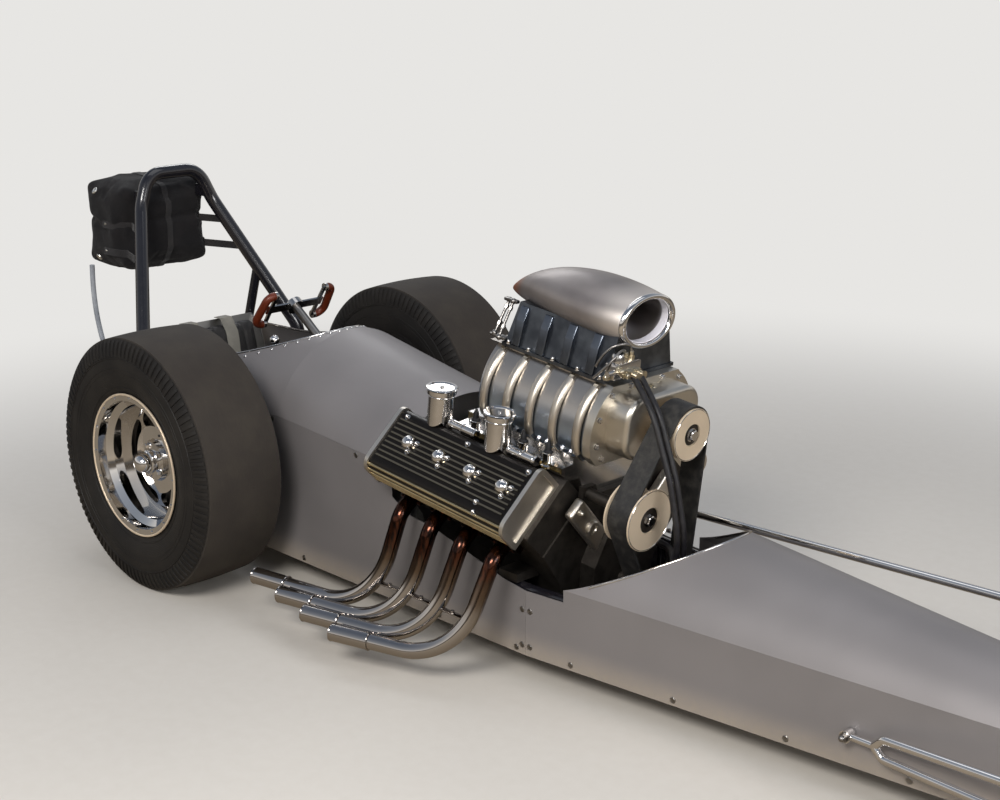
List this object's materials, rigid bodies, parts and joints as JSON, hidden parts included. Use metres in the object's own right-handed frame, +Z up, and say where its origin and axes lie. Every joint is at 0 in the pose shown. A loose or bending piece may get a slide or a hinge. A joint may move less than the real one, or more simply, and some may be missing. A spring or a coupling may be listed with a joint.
{
  "type": "drag racing car",
  "caption": "Front-engined dragster with a supercharged V8, arched silver body, roll hoop with brake-chute pack, wide rear slicks and wire front wheels",
  "frame": {"origin": "on the ground, under the middle of the car's length and width", "axes": "+X forward to the nose, +Y the driver's left, +Z up"},
  "size_m": [4.4399, 1.328, 1.1688],
  "materials": {
    "frame_paint": "semi-gloss black paint",
    "hoop_paint": "satin black paint",
    "body_paint": "satin warm silver metallic",
    "bare_aluminium": "bare sheet and castings",
    "black_trim": "satin black",
    "seat_vinyl": "black grained seat covering",
    "brass_fittings": "worn brass",
    "axle_paint": "dark grey paint",
    "axle_chrome": "bright chrome",
    "block_paint": "gloss black paint",
    "cast_aluminium": "cast, lightly polished",
    "polished_aluminium": "polished",
    "header_chrome": "chrome with heat tint",
    "belt_rubber": "black rubber belt",
    "magneto_black": "black cap",
    "injector_paint": "dark blue-grey",
    "scoop_aluminium": "brushed and polished",
    "hose_rubber": "black hose",
    "pack_cloth": "black woven cloth",
    "tether_webbing": "grey webbing",
    "grip_red": "copper red",
    "tyre_black": "black tyre rubber",
    "wheel_magnesium": "polished cast wheel",
    "drum_iron": "machined drum"
  },
  "bodies": {
    "chassis": {"frame_lower": "frame_paint", "frame_upper": "frame_paint", "roll_hoop": "hoop_paint", "belly_pan": "body_paint", "side_panels": "body_paint", "cowl": "body_paint", "nose_shell": "body_paint", "tail_panel": "body_paint", "firewall": "bare_aluminium", "seat_shell": "black_trim", "seat_cushion": "seat_vinyl", "steering_column": "frame_paint", "brake_lever": "brass_fittings", "rear_axle_housing": "axle_paint", "front_axle": "axle_chrome", "radius_rods": "axle_chrome", "engine_block": "block_paint", "bellhousing": "bare_aluminium", "cylinder_heads": "cast_aluminium", "valve_covers": "polished_aluminium", "breathers": "polished_aluminium", "header_right": "header_chrome", "header_left": "header_chrome", "intake_manifold": "cast_aluminium", "blower_case": "polished_aluminium", "blower_front": "polished_aluminium", "drive_pulleys": "polished_aluminium", "blower_belt": "belt_rubber", "fuel_pump": "cast_aluminium", "magneto": "magneto_black", "injector_body": "injector_paint", "scoop": "scoop_aluminium", "fuel_hoses": "hose_rubber", "chute_pack": "pack_cloth", "chute_tether": "tether_webbing"},
    "spindle_l": {"spindle_left": "axle_chrome"},
    "spindle_r": {"spindle_right": "axle_chrome"},
    "wheel_fl": {"front_wheel_left": "axle_chrome", "front_tyre_left": "tyre_black"},
    "wheel_fr": {"front_wheel_right": "axle_chrome", "front_tyre_right": "tyre_black"},
    "wheel_rl": {"rear_wheel_left": "wheel_magnesium", "rear_tyre_left": "tyre_black", "rear_drum_left": "drum_iron"},
    "wheel_rr": {"rear_wheel_right": "wheel_magnesium", "rear_tyre_right": "tyre_black", "rear_drum_right": "drum_iron"},
    "tie_rod_body": {"tie_rod": "axle_chrome"},
    "drag_link_body": {"drag_link": "axle_chrome"},
    "pitman_body": {"pitman_arm": "axle_chrome"},
    "steering_wheel_body": {"steering_wheel": "grip_red"}
  },
  "joints": [
    {"name": "steer_left", "type": "hinge", "parent": "chassis", "child": "spindle_l", "pos_m": [1.935, 0.475, 0.285], "axis": [0, 0, 1], "range_deg": [-15, 15]},
    {"name": "steer_right", "type": "hinge", "parent": "chassis", "child": "spindle_r", "pos_m": [1.935, -0.475, 0.285], "axis": [0, 0, 1], "range_deg": [-15, 15]},
    {"name": "spin_front_left", "type": "hinge", "parent": "spindle_l", "child": "wheel_fl", "pos_m": [1.935, 0.56, 0.285], "axis": [0, 1, 0], "continuous": true},
    {"name": "spin_front_right", "type": "hinge", "parent": "spindle_r", "child": "wheel_fr", "pos_m": [1.935, -0.56, 0.285], "axis": [0, 1, 0], "continuous": true},
    {"name": "spin_rear_left", "type": "hinge", "parent": "chassis", "child": "wheel_rl", "pos_m": [-1.215, 0.518, 0.395], "axis": [0, 1, 0], "continuous": true},
    {"name": "spin_rear_right", "type": "hinge", "parent": "chassis", "child": "wheel_rr", "pos_m": [-1.215, -0.518, 0.395], "axis": [0, 1, 0], "continuous": true},
    {"name": "tie_rod_slide", "type": "slide", "parent": "chassis", "child": "tie_rod_body", "axis": [0, 1, 0], "range_m": [-0.0302, 0.0302]},
    {"name": "drag_link_slide", "type": "slide", "parent": "chassis", "child": "drag_link_body", "axis": [1, 0, 0], "range_m": [-0.0354, 0.0354]},
    {"name": "pitman_turn", "type": "hinge", "parent": "chassis", "child": "pitman_body", "pos_m": [-0.835, 0.2, 0.501], "axis": [0, 1, 0], "range_deg": [-12, 12]},
    {"name": "steering_wheel_turn", "type": "hinge", "parent": "chassis", "child": "steering_wheel_body", "pos_m": [-1.235, 0, 0.776], "axis": [-0.8192, 0, 0.5736], "range_deg": [-90, 90]}
  ],
  "couplings": [
    {"joint": "steer_right", "follows": "steer_left", "ratio": 1},
    {"joint": "tie_rod_slide", "follows": "steer_left", "m_per_rad": 0.115},
    {"joint": "drag_link_slide", "follows": "steer_left", "m_per_rad": 0.135},
    {"joint": "pitman_turn", "follows": "steer_left", "ratio": -0.7542},
    {"joint": "steering_wheel_turn", "follows": "steer_left", "ratio": 6}
  ]
}
